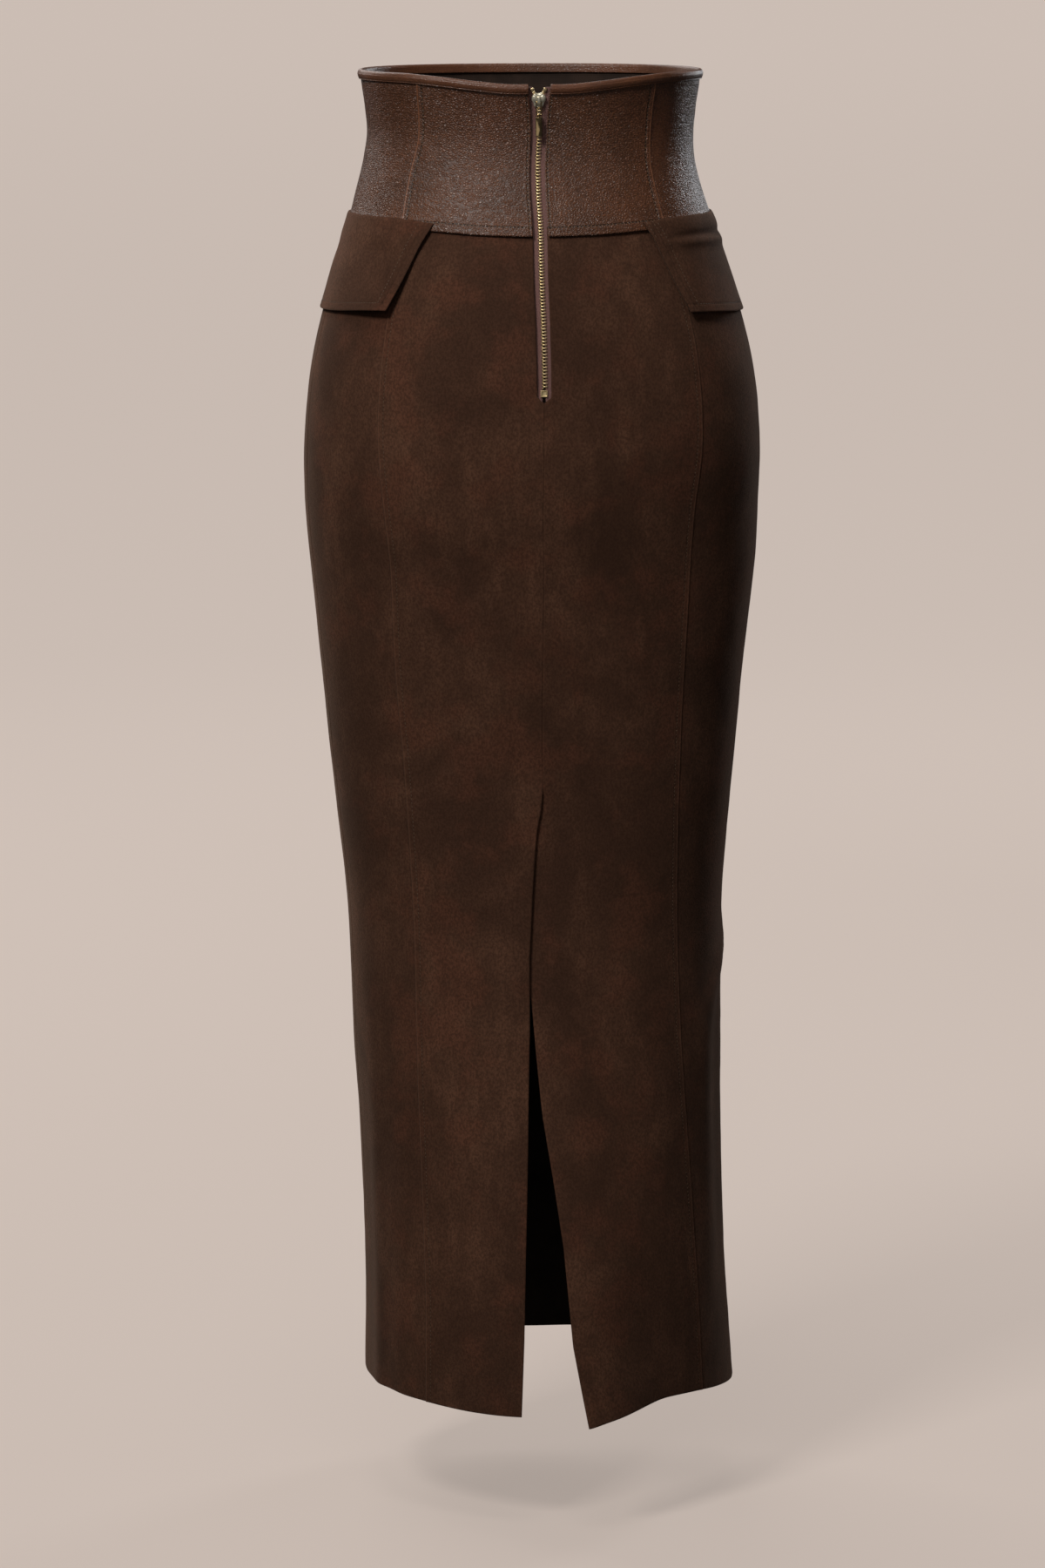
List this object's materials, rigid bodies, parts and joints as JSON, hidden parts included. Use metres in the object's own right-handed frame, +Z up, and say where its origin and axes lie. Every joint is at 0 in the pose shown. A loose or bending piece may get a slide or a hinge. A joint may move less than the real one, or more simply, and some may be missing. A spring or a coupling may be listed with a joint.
{
  "type": "maxi skirt",
  "caption": "Worn-form column maxi skirt in dark suede with a high leather corset waist, side pocket flaps, an exposed back zip and a long back slit.",
  "frame": {"origin": "centre of the natural waist, the narrowest ring, where the wearer holds the skirt up", "axes": "+Z up along the skirt, front facing -Y, zip and slit at +Y, +X towards the wearer's left"},
  "size_m": [0.3635, 0.3247, 1.0604],
  "materials": {
    "leather": "pebbled semi-gloss brown leather",
    "suede": "dark brown napped suede, matt",
    "tape": "ribbed mauve-brown woven zip tape",
    "zip_metal": "polished pale gold"
  },
  "bodies": {
    "skirt": {"leather_back_left": "leather", "leather_back_right": "leather", "leather_side_left": "leather", "leather_side_right": "leather", "leather_front": "leather", "binding_back_left": "leather", "binding_back_right": "leather", "binding_front": "leather", "skirt_back_left": "suede", "skirt_back_right": "suede", "skirt_side_left": "suede", "skirt_side_right": "suede", "skirt_front": "suede", "flap_left": "suede", "flap_right": "suede", "zip_tape_left": "tape", "zip_tape_right": "tape", "zip_chain": "zip_metal", "zip_slider": "zip_metal", "zip_stop_bottom": "zip_metal", "zip_stop_left": "zip_metal", "zip_stop_right": "zip_metal"},
    "pull_link": {"zip_link": "zip_metal"},
    "pull_bar": {"zip_bar": "zip_metal"}
  },
  "joints": [
    {"name": "link_swing", "type": "hinge", "parent": "skirt", "child": "pull_link", "pos_m": [0, 0.09394, 0.02875], "axis": [1, 0, 0], "range_deg": [-6, 150]},
    {"name": "bar_swing", "type": "hinge", "parent": "pull_link", "child": "pull_bar", "pos_m": [0, 0.09394, 0.01855], "axis": [1, 0, 0], "range_deg": [-5, 120]}
  ]
}
